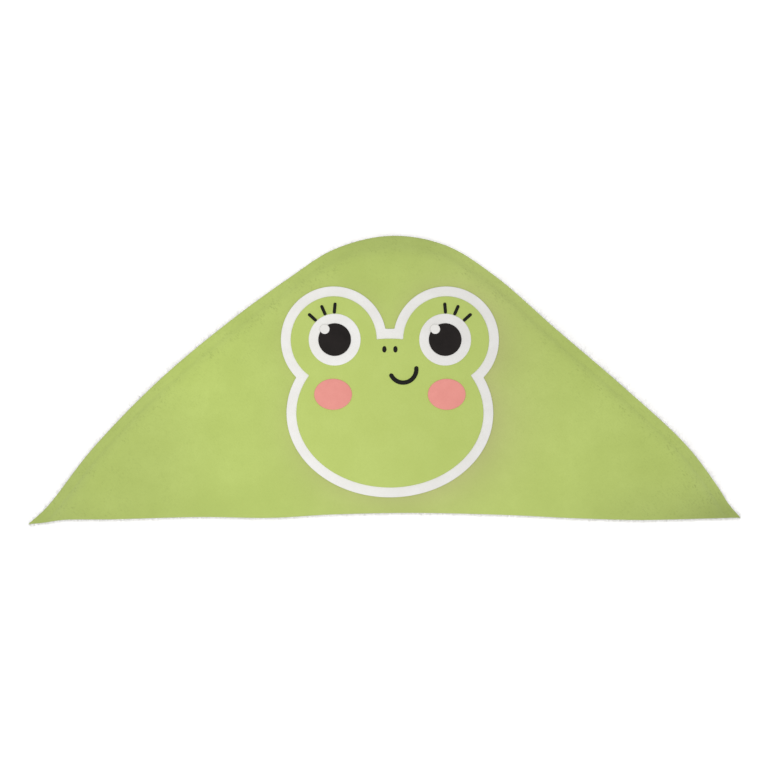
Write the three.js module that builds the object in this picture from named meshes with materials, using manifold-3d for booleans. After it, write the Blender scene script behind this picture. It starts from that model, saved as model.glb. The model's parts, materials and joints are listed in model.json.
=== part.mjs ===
// Hooded baby towel, folded for the shelf with its hood on top. Millimetres, +Z up.
//
// A 750 mm square terry towel carries a hood across one corner. The towel is folded in thirds
// both ways behind the hood, and the corner that is left is tucked under along the hood's hem.
// The hood then lies on a bundle of its own outline: nine layers behind it, nine tucked below.
// The towel is one cloth in two nodes, cut at that last fold, so that the bundle can open.
// +X runs along the hood's hem, +Y from the hem towards the hood's crown. The origin lies under
// the middle of the plan, on the surface that the bundle rests on.
import * as THREE from "three";
import { mergeVertices } from "three/addons/utils/BufferGeometryUtils.js";
import Module from "manifold-3d";

const wasm = await Module();
wasm.setup();

// ---- driving dimensions ----
const HEM_WIDTH = 382; // the hood's free hem, tip to tip
const HALF_WIDTH = HEM_WIDTH / 2;
const TOWEL_LAYER = 1.6; // one layer of terry, pressed in the bundle
const LAYERS_PER_HALF = 9; // layers behind the hood, and as many tucked below
const CLEARANCE = 0.3; // between pieces that touch
const HALF_STACK = TOWEL_LAYER * LAYERS_PER_HALF;
const STACK_TOP = 2 * HALF_STACK; // top of the towel corner, where the hood's pocket begins

const STACK_INSET = 8.5; // the bundle stays this far inside the hood's sewn edge
const SIDE_FOLD = 150; // the bundle's sides are folded in at this distance from the middle
const FOLD_START_Y = -54; // the last fold bulges out from here, under the hem
const CREASE = { y: -70.3, z: 22.5 }; // its outermost line, which the hood half turns about
const LOWER_FRONT_Y = -65.5; // the tucked half keeps clear of the hood's hem when that swings over

const RIM_DROP = 5; // how far the sewn edge hangs below the bundle's top
const TIP_START = 154; // the hood's tips hang free from here outwards
const TIP_DROP = 11;
const POCKET_RISE = 9; // how far the mouth of the hood stands open
const POCKET_REACH = 62; // distance from the sewn edge at which it is fully open

const LINING = 1.2;
const HOOD_CLOTH = 1.4;
const FELT = 0.5; // appliqué layers
const THREAD = 0.6; // embroidery
const SEAM_INSET = 4.5; // seam allowance
const SEAM_DEPTH = TOWEL_LAYER + CLEARANCE + THREAD / 2 + 0.6; // thread centre below the corner's top

const GRID = 12; // facet size of the curved sheets

// ---- colours and finishes ----
function cloth(color, roughness = 0.95) {
  return new THREE.MeshStandardMaterial({ color, roughness, metalness: 0 });
}
const GREEN_VELOUR = cloth(0xbed075);
const WHITE_TERRY = cloth(0xf3f1ea, 1);
const WHITE_FELT = cloth(0xf0eeea);
const BLACK_FELT = cloth(0x2c2928);
const PINK_FELT = cloth(0xe7988f);
const BLACK_THREAD = cloth(0x24221f, 0.6);
const WHITE_THREAD = cloth(0xf4f2ee, 0.6);

// ---- the hood's outline, seen from above ----
// The sewn edge: left tip, over the crown, to the right tip.
const SEWN_EDGE = [
  [-191, -77.5], [-182, -68.5], [-157, -37], [-122, -1], [-87, 28.5], [-53, 53.5], [-27, 70],
  [3, 77], [32, 72], [58, 56], [92, 26.5], [127, -3.5], [161.5, -35.5], [178.5, -57.5],
  [185, -67.5], [191, -74.3],
];
// The free hem, from the right tip back to the left one; it bows up a little in the middle.
const FREE_HEM = [
  [191, -74.3], [160, -74.7], [135, -75], [100, -74], [67, -72.4], [15, -71.2], [-30, -72.1],
  [-60, -73.8], [-100, -73.4], [-145, -74.7], [-173, -75.3], [-184, -77], [-191, -77.5],
];

// A smooth curve through hand-set points, cut into straight pieces.
function smoothLine(points, pieces) {
  const curve = new THREE.CatmullRomCurve3(
    points.map(([x, y]) => new THREE.Vector3(x, y, 0)), false, "centripetal");
  return curve.getPoints(pieces).map((p) => new THREE.Vector2(p.x, p.y));
}
const sewnLine = smoothLine(SEWN_EDGE, 48);
const hemLine = smoothLine(FREE_HEM, 24);
const hoodOutline = [...sewnLine, ...hemLine.slice(1, -1)];

// The sewn edge moved inwards by a distance.
function insetSewnLine(distance) {
  return sewnLine.map((p, i) => {
    const before = sewnLine[Math.max(i - 1, 0)];
    const after = sewnLine[Math.min(i + 1, sewnLine.length - 1)];
    const along = after.clone().sub(before).normalize();
    return new THREE.Vector2(p.x + along.y * distance, p.y - along.x * distance);
  });
}

function distanceToSegment(p, a, b) {
  const along = b.clone().sub(a);
  const t = THREE.MathUtils.clamp(p.clone().sub(a).dot(along) / along.lengthSq(), 0, 1);
  return p.distanceTo(a.clone().addScaledVector(along, t));
}

// Height of the sewn line above or below a point tells inside from outside.
function sewnHeightAt(x) {
  const i = sewnLine.findIndex((p) => p.x >= x);
  if (i < 1) return -Infinity;
  const [a, b] = [sewnLine[i - 1], sewnLine[i]];
  return a.y + ((b.y - a.y) * (x - a.x)) / (b.x - a.x);
}

// Distance from the sewn edge, and nothing outside it.
function rimDistance(x, y) {
  if (y >= sewnHeightAt(x)) return 0;
  const p = new THREE.Vector2(x, y);
  let nearest = Infinity;
  for (let i = 1; i < sewnLine.length; i++)
    nearest = Math.min(nearest, distanceToSegment(p, sewnLine[i - 1], sewnLine[i]));
  return nearest;
}

// ---- heights ----
const ease = (t) => THREE.MathUtils.smoothstep(t, 0, 1);

// Top of the towel corner: flat on the bundle, dropping at the sewn edge and at the tips.
function cornerTop(x, y) {
  const rim = RIM_DROP * (1 - ease(rimDistance(x, y) / (2 * STACK_INSET)));
  const tip = TIP_DROP * ease((Math.abs(x) - TIP_START) / (HALF_WIDTH - TIP_START));
  return STACK_TOP - rim - tip;
}

// Underside of the hood's lining: the pocket is closed at the sewn edge and open at the hem.
function liningUnderside(x, y) {
  return cornerTop(x, y) + CLEARANCE + POCKET_RISE * ease(rimDistance(x, y) / POCKET_REACH);
}
const hoodUnderside = (x, y) => liningUnderside(x, y) + LINING + CLEARANCE;
const hoodTop = (x, y) => hoodUnderside(x, y) + HOOD_CLOTH;

// The same height on the flat facets of the shared grid.
function facetHeight(height, x, y) {
  const [i, j] = [Math.floor(x / GRID), Math.floor(y / GRID)];
  const [u, v] = [x / GRID - i, y / GRID - j];
  const corner = (di, dj) => height((i + di) * GRID, (j + dj) * GRID);
  const middle = u > v ? corner(1, 0) : corner(0, 1);
  const [low, high] = [Math.min(u, v), Math.max(u, v)];
  return corner(0, 0) * (1 - high) + middle * (high - low) + corner(1, 1) * low;
}

// ---- solids ----
function solidFrom(geometry) {
  const bare = geometry.clone();
  bare.deleteAttribute("normal");
  bare.deleteAttribute("uv");
  const merged = mergeVertices(bare, 1e-4);
  return new wasm.Manifold(new wasm.Mesh({
    numProp: 3,
    vertProperties: merged.attributes.position.array,
    triVerts: new Uint32Array(merged.index.array),
  }));
}

function geometryFrom(solid) {
  const { vertProperties, triVerts, numProp, numVert } = solid.getMesh();
  const position = new Float32Array(numVert * 3);
  for (let i = 0; i < numVert; i++)
    position.set(vertProperties.subarray(i * numProp, i * numProp + 3), i * 3);
  const geometry = new THREE.BufferGeometry();
  geometry.setAttribute("position", new THREE.BufferAttribute(position, 3));
  geometry.setIndex(new THREE.BufferAttribute(triVerts, 1));
  geometry.computeVertexNormals();
  return geometry;
}

// A plan outline as an upright prism.
function prism(outline, low = -20, high = 90) {
  const shape = new THREE.Shape(outline);
  const geometry = new THREE.ExtrudeGeometry(shape, { depth: high - low, bevelEnabled: false });
  return solidFrom(geometry.translate(0, 0, low));
}

// A closed sheet between two height functions, on one grid for the whole towel, so that
// sheets that follow the same surface have parallel facets.
function sheetBetween(lower, upper, { x0 = -204, x1 = 204, y0 = -84, y1 = 84 } = {}) {
  const [i0, i1] = [Math.floor(x0 / GRID), Math.ceil(x1 / GRID)];
  const [j0, j1] = [Math.floor(y0 / GRID), Math.ceil(y1 / GRID)];
  const [columns, rows] = [i1 - i0 + 1, j1 - j0 + 1];
  const position = [];
  for (const height of [lower, upper])
    for (let j = j0; j <= j1; j++)
      for (let i = i0; i <= i1; i++) position.push(i * GRID, j * GRID, height(i * GRID, j * GRID));
  const at = (i, j, layer) => layer * columns * rows + j * columns + i;
  const index = [];
  const quad = (a, b, c, d) => index.push(a, b, c, a, c, d);
  for (let j = 0; j < rows - 1; j++)
    for (let i = 0; i < columns - 1; i++) {
      quad(at(i, j, 1), at(i + 1, j, 1), at(i + 1, j + 1, 1), at(i, j + 1, 1));
      index.push(at(i, j, 0), at(i + 1, j + 1, 0), at(i + 1, j, 0));
      index.push(at(i, j, 0), at(i, j + 1, 0), at(i + 1, j + 1, 0));
    }
  for (let i = 0; i < columns - 1; i++) {
    quad(at(i, 0, 0), at(i + 1, 0, 0), at(i + 1, 0, 1), at(i, 0, 1));
    quad(at(i + 1, rows - 1, 0), at(i, rows - 1, 0), at(i, rows - 1, 1), at(i + 1, rows - 1, 1));
  }
  for (let j = 0; j < rows - 1; j++) {
    quad(at(0, j + 1, 0), at(0, j, 0), at(0, j, 1), at(0, j + 1, 1));
    const last = columns - 1;
    quad(at(last, j, 0), at(last, j + 1, 0), at(last, j + 1, 1), at(last, j, 1));
  }
  const geometry = new THREE.BufferGeometry();
  geometry.setAttribute("position", new THREE.Float32BufferAttribute(position, 3));
  geometry.setIndex(index);
  return solidFrom(geometry);
}

// A length of the last fold along X, from its section in the YZ plane.
function foldAlongHem(section) {
  const points = section.map(([y, z]) => new THREE.Vector2(y, z));
  const shape = new THREE.Shape();
  shape.moveTo(points[0].x, points[0].y);
  shape.splineThru(points.slice(1));
  const geometry = new THREE.ExtrudeGeometry(
    shape, { depth: 2 * SIDE_FOLD, curveSegments: 2 * points.length, bevelEnabled: false });
  geometry.translate(0, 0, -SIDE_FOLD);
  const turn = new THREE.Matrix4().makeBasis(
    new THREE.Vector3(0, 1, 0), new THREE.Vector3(0, 0, 1), new THREE.Vector3(1, 0, 0));
  return solidFrom(geometry.applyMatrix4(turn));
}

// ---- the towel ----
function rectangle(x, y0, y1) {
  return [[-x, y0], [x, y0], [x, y1], [-x, y1]].map(([px, py]) => new THREE.Vector2(px, py));
}

// The bundle's plan: inside the sewn edge, with the sides folded in.
function bundlePrism(low, high) {
  const line = insetSewnLine(STACK_INSET);
  const [first, last] = [line[0], line[line.length - 1]];
  const outline = [...line, new THREE.Vector2(last.x, -99), new THREE.Vector2(first.x, -99)];
  return prism(outline, low, high).intersect(prism(rectangle(SIDE_FOLD, FOLD_START_Y, 99), low, high));
}

// The half behind the hood. Its top layer is the towel's corner, which runs out to the sewn edge.
function towelHoodHalf() {
  const bottom = HALF_STACK + CLEARANCE / 2;
  const outline = [
    ...sewnLine,
    new THREE.Vector2(SIDE_FOLD, -74), new THREE.Vector2(SIDE_FOLD, FOLD_START_Y),
    new THREE.Vector2(-SIDE_FOLD, FOLD_START_Y), new THREE.Vector2(-SIDE_FOLD, -74.5),
  ];
  const cornerUnderside = (x, y) => cornerTop(x, y) - TOWEL_LAYER;
  const corner = sheetBetween(cornerUnderside, cornerTop).intersect(prism(outline));
  const stack = sheetBetween(() => bottom, (x, y) => cornerTop(x, y) - TOWEL_LAYER / 2)
    .intersect(bundlePrism(bottom, STACK_TOP));
  const bend = foldAlongHem([
    [FOLD_START_Y, bottom], [-64, bottom], [-68.5, 17.5], [CREASE.y, CREASE.z - 1], [-69, 25.5],
    [-64.5, 28], [FOLD_START_Y, STACK_TOP],
  ]).intersect(prism(rectangle(HALF_WIDTH, -99, 99), bottom, STACK_TOP));
  return corner.add(stack).add(bend);
}

function towelTuckedHalf() {
  const top = HALF_STACK - CLEARANCE / 2;
  const bend = foldAlongHem([
    [FOLD_START_Y, 0], [-60, 0], [-64.3, 2.5], [LOWER_FRONT_Y, 7], [LOWER_FRONT_Y + 0.5, 11.5],
    [-63.5, top], [FOLD_START_Y, top],
  ]).intersect(prism(rectangle(HALF_WIDTH, -99, 99), 0, top));
  return bundlePrism(0, top).add(bend);
}

// ---- the hood ----
const hoodPrism = prism(hoodOutline);
function hoodSheet(lower, thickness) {
  return sheetBetween(lower, (x, y) => lower(x, y) + thickness).intersect(hoodPrism);
}

// The thread that holds hood and towel together, under the overhanging sewn edge.
function seamThread() {
  const points = insetSewnLine(SEAM_INSET)
    .filter((p) => Math.abs(p.x) < TIP_START)
    .map((p) => new THREE.Vector3(p.x, p.y, facetHeight(cornerTop, p.x, p.y) - SEAM_DEPTH));
  const section = new THREE.Shape().absarc(0, 0, THREAD / 2, 0, 2 * Math.PI);
  const path = new THREE.CatmullRomCurve3(points, false, "centripetal");
  const sweep = { steps: 60, curveSegments: 6, extrudePath: path };
  return solidFrom(new THREE.ExtrudeGeometry(section, sweep));
}

// ---- the frog's face: layers of felt and lines of thread on the hood ----
const FACE = { x: 2.35, y: -17.9, rx: 55.2, ry: 45.0 }; // the chin, an ellipse
const EYE_X = 29.5; // either side of the face's middle
const EYE_Y = 21.3;
const LOBE = { dx: 29.8, radius: 28.5 }; // the round bulge of the head behind each eye
const BORDER = 5.3; // white felt showing round the green
const EYE_WHITE = 13.9;
const PUPIL = 8.75;
const GLINT = { radius: 2.6, dx: -5.3, dy: 5.6 };
const LASH = { from: 15.1, to: 18.5, width: 1.5, angles: [89, 112, 135] };
const NOSTRIL = { dx: 2.95, y: 16.1, rx: 1.05, ry: 1.65 };
const SMILE = { x: 9.4, y: 5.4, radius: 7.05, width: 2.1, from: -154, to: 6 };
const CHEEK = { dx: 30.3, y: -7.9, rx: 10.1, ry: 8.3 };
const DEGREE = Math.PI / 180;

function ellipseOutline(x, y, rx, ry, pieces = 24) {
  return new THREE.EllipseCurve(x, y, rx, ry, 0, 2 * Math.PI).getPoints(pieces).slice(0, -1);
}

// A line of a given width along an arc or a straight stretch, with round ends.
function strokeOutline(centreline, width) {
  const sideways = (i) => {
    const a = centreline[Math.max(i - 1, 0)];
    const b = centreline[Math.min(i + 1, centreline.length - 1)];
    const along = b.clone().sub(a).normalize();
    return new THREE.Vector2(-along.y, along.x);
  };
  const left = centreline.map((p, i) => p.clone().addScaledVector(sideways(i), width / 2));
  const right = centreline.map((p, i) => p.clone().addScaledVector(sideways(i), -width / 2));
  const cap = (i) => {
    const n = sideways(i);
    const out = new THREE.Vector2(n.y, -n.x).multiplyScalar(i === 0 ? -1 : 1);
    return [0.25, 0.5, 0.75].map((t) => {
      const angle = Math.PI * t;
      const side = i === 0 ? -1 : 1;
      return centreline[i].clone()
        .addScaledVector(n, (side * Math.cos(angle) * width) / 2)
        .addScaledVector(out, (Math.sin(angle) * width) / 2);
    });
  };
  return [...left, ...cap(centreline.length - 1), ...right.reverse(), ...cap(0)].reverse();
}

// Heights of the appliqué layers above the hood, each a clearance above the one below.
const level = (n) => (x, y) => hoodTop(x, y) + n * (CLEARANCE + FELT) + CLEARANCE;

function onHood(planSolid, layer, thickness, reach) {
  const lower = level(layer);
  return sheetBetween(lower, (x, y) => lower(x, y) + thickness, reach).intersect(planSolid);
}

function reachOf(outline) {
  const xs = outline.map((p) => p.x);
  const ys = outline.map((p) => p.y);
  const [x0, x1] = [Math.min(...xs) - 1, Math.max(...xs) + 1];
  const [y0, y1] = [Math.min(...ys) - 1, Math.max(...ys) + 1];
  return { x0, x1, y0, y1 };
}

const patch = (outline, layer, thickness) => onHood(prism(outline), layer, thickness, reachOf(outline));

// The head: the chin's ellipse and two round eye lobes, all drawn in by the same width.
function headPatch(drawnIn, layer) {
  const chin = prism(ellipseOutline(FACE.x, FACE.y, FACE.rx - drawnIn, FACE.ry - drawnIn, 40));
  const radius = LOBE.radius - drawnIn;
  const lobes = [-1, 1].map((side) =>
    prism(ellipseOutline(FACE.x + side * LOBE.dx, EYE_Y, radius, radius, 28)));
  return onHood(lobes.reduce((head, lobe) => head.add(lobe), chin), layer, FELT,
    { x0: -62, x1: 66, y0: -68, y1: 54 });
}

function lashOutline(eyeX, degrees) {
  const ends = [LASH.from, LASH.to].map((r) => new THREE.Vector2(
    eyeX + r * Math.cos(degrees * DEGREE), EYE_Y + r * Math.sin(degrees * DEGREE)));
  return strokeOutline(ends, LASH.width);
}

function smileOutline() {
  const arc = new THREE.EllipseCurve(
    SMILE.x, SMILE.y, SMILE.radius, SMILE.radius, SMILE.from * DEGREE, SMILE.to * DEGREE);
  return strokeOutline(arc.getPoints(10), SMILE.width);
}

// ---- assembly ----
const towel = new THREE.Group();

function place(name, solid, material) {
  const mesh = new THREE.Mesh(geometryFrom(solid), material);
  mesh.name = name;
  towel.add(mesh);
}

place("towel_hood_half", towelHoodHalf(), WHITE_TERRY);
place("towel_tucked_half", towelTuckedHalf(), WHITE_TERRY);
place("hood_lining", hoodSheet(liningUnderside, LINING), WHITE_TERRY);
place("hood_outer", hoodSheet(hoodUnderside, HOOD_CLOTH), GREEN_VELOUR);
place("hood_seam_thread", seamThread(), WHITE_THREAD);

place("face_backing", headPatch(0, 0), WHITE_FELT);
place("face_patch", headPatch(BORDER, 1), GREEN_VELOUR);
for (const [name, side] of [["left", -1], ["right", 1]]) {
  const eyeX = FACE.x + side * EYE_X;
  const eyeWhite = ellipseOutline(eyeX, EYE_Y, EYE_WHITE, EYE_WHITE, 24);
  place(`eye_white_${name}`, patch(eyeWhite, 2, FELT), WHITE_FELT);
  place(`pupil_${name}`, patch(ellipseOutline(eyeX, EYE_Y, PUPIL, PUPIL, 20), 3, FELT), BLACK_FELT);
  const glint = ellipseOutline(eyeX + GLINT.dx, EYE_Y + GLINT.dy, GLINT.radius, GLINT.radius, 12);
  place(`eye_glint_${name}`, patch(glint, 4, THREAD), WHITE_THREAD);
  LASH.angles.forEach((degrees, i) => {
    const outline = lashOutline(eyeX, side < 0 ? degrees : 180 - degrees);
    place(`lash_${name}_${i + 1}`, patch(outline, 2, THREAD), BLACK_THREAD);
  });
  const nostril = ellipseOutline(FACE.x + side * NOSTRIL.dx, NOSTRIL.y, NOSTRIL.rx, NOSTRIL.ry, 12);
  place(`nostril_${name}`, patch(nostril, 2, THREAD), BLACK_THREAD);
  const cheek = ellipseOutline(FACE.x + side * CHEEK.dx, CHEEK.y, CHEEK.rx, CHEEK.ry, 22);
  place(`cheek_${name}`, patch(cheek, 2, FELT), PINK_FELT);
}
place("smile", patch(smileOutline(), 2, THREAD), BLACK_THREAD);

export default towel;
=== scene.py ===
"""Hooded baby towel, folded up under its own frog hood, seen from straight above.

The towel's CAD solids are replaced by cloth: the hood's velour and lining, the towel's corner,
the folded layers of each half, and one sheet that wraps the last fold.
Lengths are in millimetres in the frame's axes, except where a comment says metres.
"""

import json
import math

import bmesh
import bpy
import numpy as np
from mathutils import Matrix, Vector
from mathutils.geometry import delaunay_2d_cdt

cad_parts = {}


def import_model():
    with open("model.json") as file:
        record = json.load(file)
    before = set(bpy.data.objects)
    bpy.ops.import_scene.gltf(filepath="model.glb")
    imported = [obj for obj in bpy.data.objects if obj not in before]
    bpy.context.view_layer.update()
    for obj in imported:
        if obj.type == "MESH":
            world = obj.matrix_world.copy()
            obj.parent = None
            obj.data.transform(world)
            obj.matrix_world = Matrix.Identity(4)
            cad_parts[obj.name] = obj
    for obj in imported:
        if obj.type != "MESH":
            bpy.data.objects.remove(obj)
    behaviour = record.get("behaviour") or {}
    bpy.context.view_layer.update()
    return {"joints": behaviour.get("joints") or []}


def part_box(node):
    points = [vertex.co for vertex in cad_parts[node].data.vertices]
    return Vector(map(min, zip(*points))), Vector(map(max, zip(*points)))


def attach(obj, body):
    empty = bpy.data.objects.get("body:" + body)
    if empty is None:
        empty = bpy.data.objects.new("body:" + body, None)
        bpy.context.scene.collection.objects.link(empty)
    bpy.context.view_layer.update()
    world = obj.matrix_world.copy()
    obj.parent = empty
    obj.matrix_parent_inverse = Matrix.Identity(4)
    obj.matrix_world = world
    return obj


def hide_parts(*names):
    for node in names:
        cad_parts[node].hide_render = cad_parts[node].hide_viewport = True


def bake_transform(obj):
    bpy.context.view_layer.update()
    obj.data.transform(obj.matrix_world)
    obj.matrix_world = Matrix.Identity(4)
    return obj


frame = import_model()

MM = 0.001


def highest(node):
    """The highest corner of a CAD node's box, in millimetres."""
    return np.array(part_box(node)[1]) / MM


# ---- sizes taken from the frame ----
HALF_WIDTH = highest("hood_outer")[0]
STACK_TOP = highest("towel_hood_half")[2]
SIDE_FOLD, _, SPLIT_Z = highest("towel_tucked_half")
CREASE_Y = frame["joints"][0]["pos_m"][1] / MM
CREASE_Z = frame["joints"][0]["pos_m"][2] / MM

# ---- sizes of the cloth ----
LAYER, LINING, VELOUR = 1.58, 1.2, 1.5  # thickness of the towel, the lining and the hood
CLEARANCE = 0.3
STACK_INSET = 8.5  # how far inside the sewn edge the folded layers end
POCKET_RISE, POCKET_REACH = 9.0, 62.0  # how high the hood stands open, and how far in it gets there
TIP_START, TIP_DROP = 154.0, 11.0  # where the tips begin to droop, and how far
LEFT_TIP = 1.2  # how far the hood's left tip reaches past its CAD solid, as in the photo
STRETCH_FROM = 150.0  # where that stretch begins
FOLD_START_Y = -54.0  # where the wrap of the last fold begins, above and below
SEAM_AT = 4.8  # from the sewn edge

# The hood's outline: the sewn edge from left tip to right tip, and the free hem.
SEWN_EDGE = [
    (-192.2, -77.8), (-182, -68.5), (-157, -37), (-122, -1), (-87, 28.5), (-53, 53.5), (-27, 70),
    (3, 77), (32, 72), (58, 56), (92, 26.5), (127, -3.5), (161.5, -35.5), (178.5, -57.5),
    (185, -67.5), (191, -74.3),
]
FREE_HEM = [
    (-192.2, -77.8), (-184, -77), (-173, -75.3), (-145, -74.7), (-100, -73.4), (-60, -73.8),
    (-30, -72.1), (15, -71.2), (67, -72.4), (100, -74), (135, -75), (160, -74.7), (191, -74.3),
]

# The frog's face, on the hood. Each of a pair is placed from the face's middle.
FACE = (2.35, -17.9, 55.2, 45.0)  # the chin: centre and half widths
EYE_X, EYE_Y = 29.5, 21.3
LOBE = (30.05, 28.25, 28.5)  # middle, half width and half height
BORDER = 5.3
EYE_WHITE, PUPIL, GLINT = 13.9, 8.75, 2.6  # radii
GLINT_AT = (-5.3, 5.6)  # from the eye's centre
CHEEK = (30.3, -7.9, 10.1, 8.3)  # centre and half widths
NOSTRIL = (2.95, 16.1, 1.15, 1.75)  # centre and half widths
SMILE = (9.4, 5.4, 7.05)  # centre and radius
SMILE_FROM, SMILE_TO, SMILE_WIDTH = -154, 6, 2.35  # degrees, and width
LASHES = ((90, -5), (111, 3), (135, 3))  # degrees round the eye, and lean
LASH_FROM, LASH_TO, LASH_WIDTH = 13.85, 19.85, 1.75
# Painted shade on the face's pieces, greyer to the right.
FACE_PAINTED_SHADING = {"white_felt": (0.965, 0.075), "green_face_velour": (0.99, 0.06)}  # brightest, fall to the right

# The loose pile at the hood's edge.
PILE_PER_MM, PILE_LENGTH, PILE_RADIUS, PILE_RINGS = 13.5, 1.0, 0.052, 3
LONGEST_PILE, SHORTEST_PILE = 3.8, 0.6
HEM_PILE, LONGEST_HEM_PILE = 1.5, 2.2  # how much longer the pile is at the hem, and its limit there
CROWN_FROM, CROWN_SPAN, CROWN_SHORTER = 25, 40, 0.4  # it shortens from this y, over this far, by this share
PILE_LEAN, PILE_LIFT, PILE_DEPTH = 0.45, (-0.15, 0.3), 1.6  # sideways spread; mean rise and spread; depth

# Patches of painted shade on the hood's pile, and of painted light where the depth is negative: centre, reach
# each way, depth.
PAINTED_SHADE_PATCHES = [
    (-130, -58, 40, 38, 0.06), (-168, -80, 34, 12, 0.05), (150, -78, 58, 20, 0.14),
    (186, -80, 22, 14, 0.13), (6, 78, 62, 14, 0.10), (6, 81, 60, 5, 0.05), (72, -2, 22, 44, 0.02),
    (-88, 8, 26, 40, -0.06), (-112, 6, 16, 14, -0.05),
]
# Painted shade on the hood's pile by its edges, its seam and its hem: depth and reach.
RIM_PAINTED_SHADE, EDGE_PAINTED_SHADE, HEM_PAINTED_SHADE = (0.05, 26), (0.02, 5), (0.035, 9)
SEAM_PAINTED_SHADE, SEAM_PAINTED_SHADE_RIGHT, SEAM_REACH = 0.035, 0.03, 1.9
# A painted shadow beside the face, deeper and wider to the lower right: depth, reach, reach on that side, and
# the way it falls.
PAINTED_SHADOW_DEPTH, PAINTED_SHADOW_REACH, PAINTED_SHADOW_REACH_LEE, PAINTED_SHADOW_TOWARDS = 0.42, 3, 11, math.radians(-35)
# How strongly the pile's flecks show everywhere, and more beside the seam, by the rim and in the low corners.
FLECKS, SEAM_FLECKS, RIM_FLECKS, CORNER_FLECKS = 0.16, 0.6, 0.5, 0.35


# ---- curves ----
def catmull_rom(points, count):
    """A centripetal Catmull-Rom curve through points, as count points."""
    p = np.array(points, float)
    p = np.vstack([2 * p[0] - p[1], p, 2 * p[-1] - p[-2]])
    out = []
    for t in np.linspace(0, len(points) - 1, count):
        i = min(int(t), len(points) - 2)
        a, b, c, d = p[i : i + 4]
        knots = [0.0]
        for q, r in ((a, b), (b, c), (c, d)):
            knots.append(knots[-1] + math.sqrt(np.linalg.norm(r - q)))
        s = knots[1] + (t - i) * (knots[2] - knots[1])

        def mix(q, r, k0, k1):
            return ((k1 - s) * q + (s - k0) * r) / (k1 - k0)

        ab, bc, cd = (mix(q, r, knots[k], knots[k + 1]) for k, (q, r) in enumerate(((a, b), (b, c), (c, d))))
        abc, bcd = mix(ab, bc, knots[0], knots[2]), mix(bc, cd, knots[1], knots[3])
        out.append(mix(abc, bcd, knots[1], knots[2]))
    return np.array(out)


SEWN = catmull_rom(SEWN_EDGE, 320)
HEM = catmull_rom(FREE_HEM, 120)


def sewn_y(x):
    return np.interp(x, SEWN[:, 0], SEWN[:, 1])


def hem_y(x):
    return np.interp(x, HEM[:, 0], HEM[:, 1])


def line_distance(x, y, line):
    """The distance of each point from a polyline."""
    x, y = np.atleast_1d(x).astype(float), np.atleast_1d(y).astype(float)
    shape = x.shape
    p = np.stack([x.ravel(), y.ravel()], 1)
    a, d = line[:-1], np.diff(line, axis=0)
    best = np.full(len(p), np.inf)
    for i in range(len(a)):
        t = np.clip(((p - a[i]) @ d[i]) / (d[i] @ d[i]), 0, 1)
        best = np.minimum(best, np.linalg.norm(p - a[i] - t[:, None] * d[i], axis=1))
    return best.reshape(shape)


def ease(t):
    t = np.clip(t, 0, 1)
    return t * t * (3 - 2 * t)


# ---- heights ----
WAVES = np.random.default_rng(11).uniform(-1, 1, (9, 3))
RIM_DROP, RIM_REACH = 2.9, 10.5  # the hood's sewn edge turns down
CORNER_DROP, CORNER_REACH = 3.4, 13  # and the towel's corner under it
GROOVE = 0.38  # depth of the line that the seam draws in
PUCKER, PUCKER_WAVE, PUCKER_REACH = 0.12, 8, 4  # gathers beside the seam
SOFT_WAVES = ((0.32, 74, 1), (0.12, 31, 2))  # the hood's waves: height, length and seed
WAVES_FULL = 18  # how far inside the sewn edge the waves have their full height


def ripple(x, y, wavelength, seed=0):
    """A smooth irregular wave between about -1 and 1."""
    total = 0
    for i, (a, b, c) in enumerate(WAVES):
        turn = 2 * math.pi / (wavelength * (0.7 + 0.11 * i))
        angle = math.pi * (a + 0.37 * seed)
        along = x * math.cos(angle) + y * math.sin(angle)
        total = total + np.sin(turn * along + 7 * b + 1.3 * seed) * (0.6 + 0.4 * c)
    return total / 3.2


def tip_droop(x):
    return TIP_DROP * ease((np.abs(x) - TIP_START) / (HALF_WIDTH - TIP_START))


def corner_top(x, y):
    """Top of the towel's corner, on the bundle."""
    d = line_distance(x, y, SEWN[::4])
    return STACK_TOP - CORNER_DROP * (1 - ease(d / CORNER_REACH)) - tip_droop(x)


def hood_top(x, y):
    """Top of the hood, without the rounding of its edges."""
    d = line_distance(x, y, SEWN[::2])
    base = STACK_TOP + CLEARANCE + LINING + CLEARANCE + VELOUR - tip_droop(x)
    dome = POCKET_RISE * ease(d / POCKET_REACH)
    rim = -RIM_DROP * (1 - ease(d / RIM_REACH))
    groove = -GROOVE * np.exp(-((d - SEAM_AT) ** 2))
    pucker = PUCKER * ripple(x, y, PUCKER_WAVE, 3) * np.exp(-(((d - SEAM_AT) / PUCKER_REACH) ** 2))
    waves = sum(height * ripple(x, y, length, seed) for height, length, seed in SOFT_WAVES)
    return base + dome + rim + groove + pucker + waves * ease(d / WAVES_FULL)


# ---- meshes ----
def make_object(name, vertices, faces, material):
    mesh = bpy.data.meshes.new(name)
    mesh.from_pydata([tuple(v * MM) for v in np.asarray(vertices, float)], [], [tuple(f) for f in faces])
    mesh.validate()
    mesh.materials.append(material)
    for polygon in mesh.polygons:
        polygon.use_smooth = True
    piece = bpy.data.objects.new(name, mesh)
    bpy.context.scene.collection.objects.link(piece)
    return piece


def grid_faces(rows, columns, first=0, flip=False):
    """Quads of a grid of points, numbered row by row from first."""
    r, c = np.meshgrid(np.arange(rows - 1), np.arange(columns - 1), indexing="ij")
    a = (first + r * columns + c).ravel()
    quads = np.stack([a, a + 1, a + columns + 1, a + columns], 1)
    return (quads[:, ::-1] if flip else quads).tolist()


def tube_faces(rings, count, first=0):
    """Quads between closed rings of count points, numbered ring by ring from first."""
    faces = []
    for a in range(first, first + (rings - 1) * count, count):
        for i in range(count):
            j = (i + 1) % count
            faces.append((a + i, a + j, a + count + j, a + count + i))
    return faces


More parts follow.
